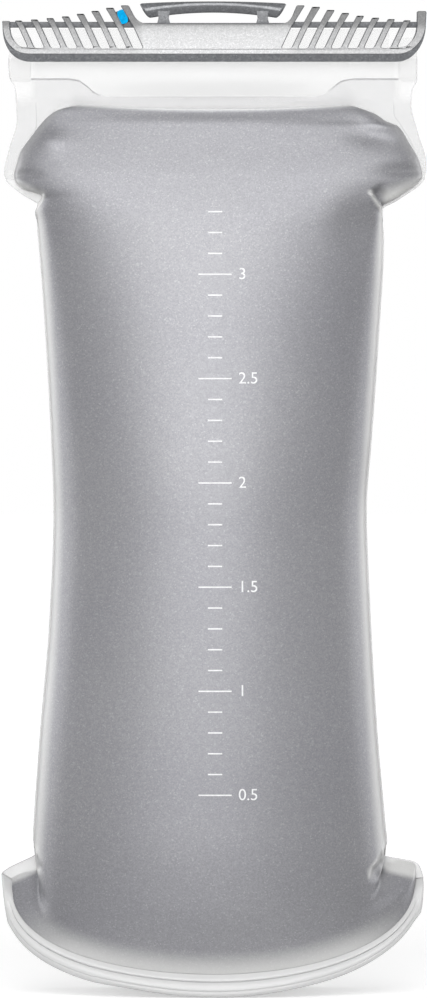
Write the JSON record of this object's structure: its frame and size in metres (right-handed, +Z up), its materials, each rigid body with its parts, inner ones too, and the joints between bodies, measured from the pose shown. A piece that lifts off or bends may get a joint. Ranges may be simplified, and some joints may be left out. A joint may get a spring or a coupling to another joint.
{
  "type": "hydration bladder",
  "caption": "Insulated soft water reservoir for a backpack, with a slide-on top closure, a hang handle and a self-closing outlet port on its back.",
  "frame": {"origin": "on the floor, under the middle of the base gusset", "axes": "+X to the right seen from the front, +Y towards the back where the port is, +Z up to the handle"},
  "size_m": [0.1924, 0.0911, 0.4502],
  "materials": {
    "skin": "satin",
    "foam": "matte",
    "film": "gloss",
    "gusset": "satin",
    "rail": "gloss",
    "closure": "satin",
    "handle": "satin",
    "button": "satin",
    "port": "satin",
    "latch": "satin",
    "valve": "satin",
    "seal": "matte",
    "spring": "satin"
  },
  "bodies": {
    "reservoir": {"front_skin": "skin", "back_skin": "skin", "front_foam": "foam", "back_foam": "foam", "front_liner": "film", "back_liner": "film", "front_collar": "film", "back_collar": "film", "left_side_weld": "film", "right_side_weld": "film", "front_base_weld": "film", "back_base_weld": "film", "base_gusset": "gusset", "front_rail": "rail", "back_rail": "rail", "port_body": "port", "valve_retainer": "port", "socket_seal": "seal", "valve_spring": "spring", "latch_spring": "spring"},
    "closure": {"slide_closure": "closure", "hang_handle": "handle"},
    "button": {"lock_button": "button"},
    "valve": {"valve_poppet": "valve", "valve_seal": "seal"},
    "latch": {"release_latch": "latch"}
  },
  "joints": [
    {"name": "closure_slide", "type": "slide", "parent": "reservoir", "child": "closure", "axis": [1, 0, 0], "range_m": [0, 0.19]},
    {"name": "button_press", "type": "slide", "parent": "closure", "child": "button", "axis": [0, 1, 0], "range_m": [0, 0.0012], "stiffness_N_per_m": 1500},
    {"name": "valve_press", "type": "slide", "parent": "reservoir", "child": "valve", "axis": [0, -1, 0], "range_m": [0, 0.0025], "stiffness_N_per_m": 1000, "deforming": ["valve_spring"]},
    {"name": "latch_press", "type": "slide", "parent": "reservoir", "child": "latch", "axis": [0, 0, -1], "range_m": [0, 0.0014], "stiffness_N_per_m": 1500, "deforming": ["latch_spring"]}
  ]
}
